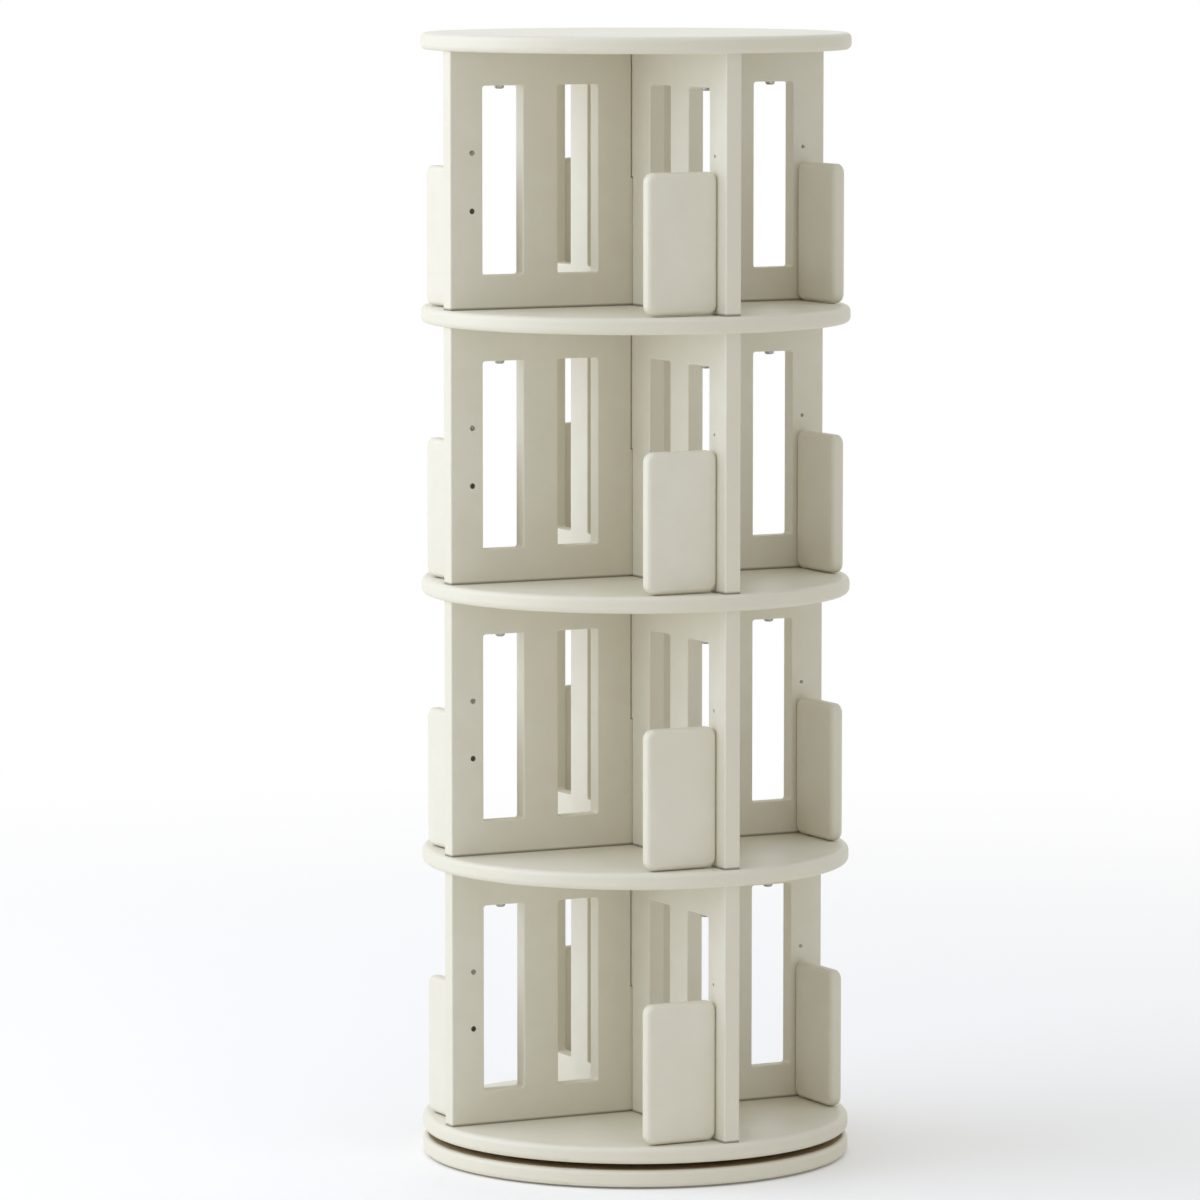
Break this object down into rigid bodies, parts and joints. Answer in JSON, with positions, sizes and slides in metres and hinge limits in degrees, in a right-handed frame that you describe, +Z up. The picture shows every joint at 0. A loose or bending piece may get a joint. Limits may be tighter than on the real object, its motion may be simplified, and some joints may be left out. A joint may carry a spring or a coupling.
{
  "type": "revolving media tower",
  "caption": "Tall revolving media tower: round shelves held apart by crossed windowed panels with upright stops, turning as one on a ball turntable above a round base.",
  "frame": {"origin": "point on the floor under the turning axis, at the underside of the pads", "axes": "+Z up along the turning axis; the crossed panels lie along X and Y at rest"},
  "size_m": [0.4599, 0.46, 1.2085],
  "materials": {
    "painted_board": "satin cream lacquer",
    "black_steel": "black oxide",
    "plated_steel": "zinc plated",
    "turntable_metal": "extruded, matt",
    "cage_plastic": "moulded",
    "ball_steel": "polished",
    "pad_rubber": "matt",
    "dowel_wood": "bare beech"
  },
  "bodies": {
    "base": {"base_disc": "painted_board", "base_pads": "pad_rubber", "turntable_outer_ring": "turntable_metal", "outer_ring_screws": "plated_steel"},
    "tower": {"turntable_inner_ring": "turntable_metal", "inner_ring_screws": "plated_steel", "bottom_shelf": "painted_board", "shelf_2": "painted_board", "shelf_3": "painted_board", "shelf_4": "painted_board", "top_board": "painted_board", "panel_1_across": "painted_board", "panel_1_along": "painted_board", "panel_2_across": "painted_board", "panel_2_along": "painted_board", "panel_3_across": "painted_board", "panel_3_along": "painted_board", "panel_4_across": "painted_board", "panel_4_along": "painted_board", "stop_1_right": "painted_board", "stop_1_back": "painted_board", "stop_1_left": "painted_board", "stop_1_front": "painted_board", "stop_2_right": "painted_board", "stop_2_back": "painted_board", "stop_2_left": "painted_board", "stop_2_front": "painted_board", "stop_3_right": "painted_board", "stop_3_back": "painted_board", "stop_3_left": "painted_board", "stop_3_front": "painted_board", "stop_4_right": "painted_board", "stop_4_back": "painted_board", "stop_4_left": "painted_board", "stop_4_front": "painted_board", "foot_bolts": "plated_steel", "tie_bolts": "plated_steel", "top_bolts": "plated_steel", "panel_inserts": "plated_steel", "top_inserts": "plated_steel", "stop_screws": "black_steel", "stop_dowels": "dowel_wood"},
    "ball_race": {"turntable_cage": "cage_plastic", "turntable_balls": "ball_steel"}
  },
  "joints": [
    {"name": "tower_spin", "type": "hinge", "parent": "base", "child": "tower", "pos_m": [0, 0, 0.02325], "axis": [0, 0, 1], "continuous": true},
    {"name": "ball_race_spin", "type": "hinge", "parent": "base", "child": "ball_race", "pos_m": [0, 0, 0.02325], "axis": [0, 0, 1], "continuous": true}
  ],
  "couplings": [
    {"joint": "ball_race_spin", "follows": "tower_spin", "ratio": 0.5}
  ]
}
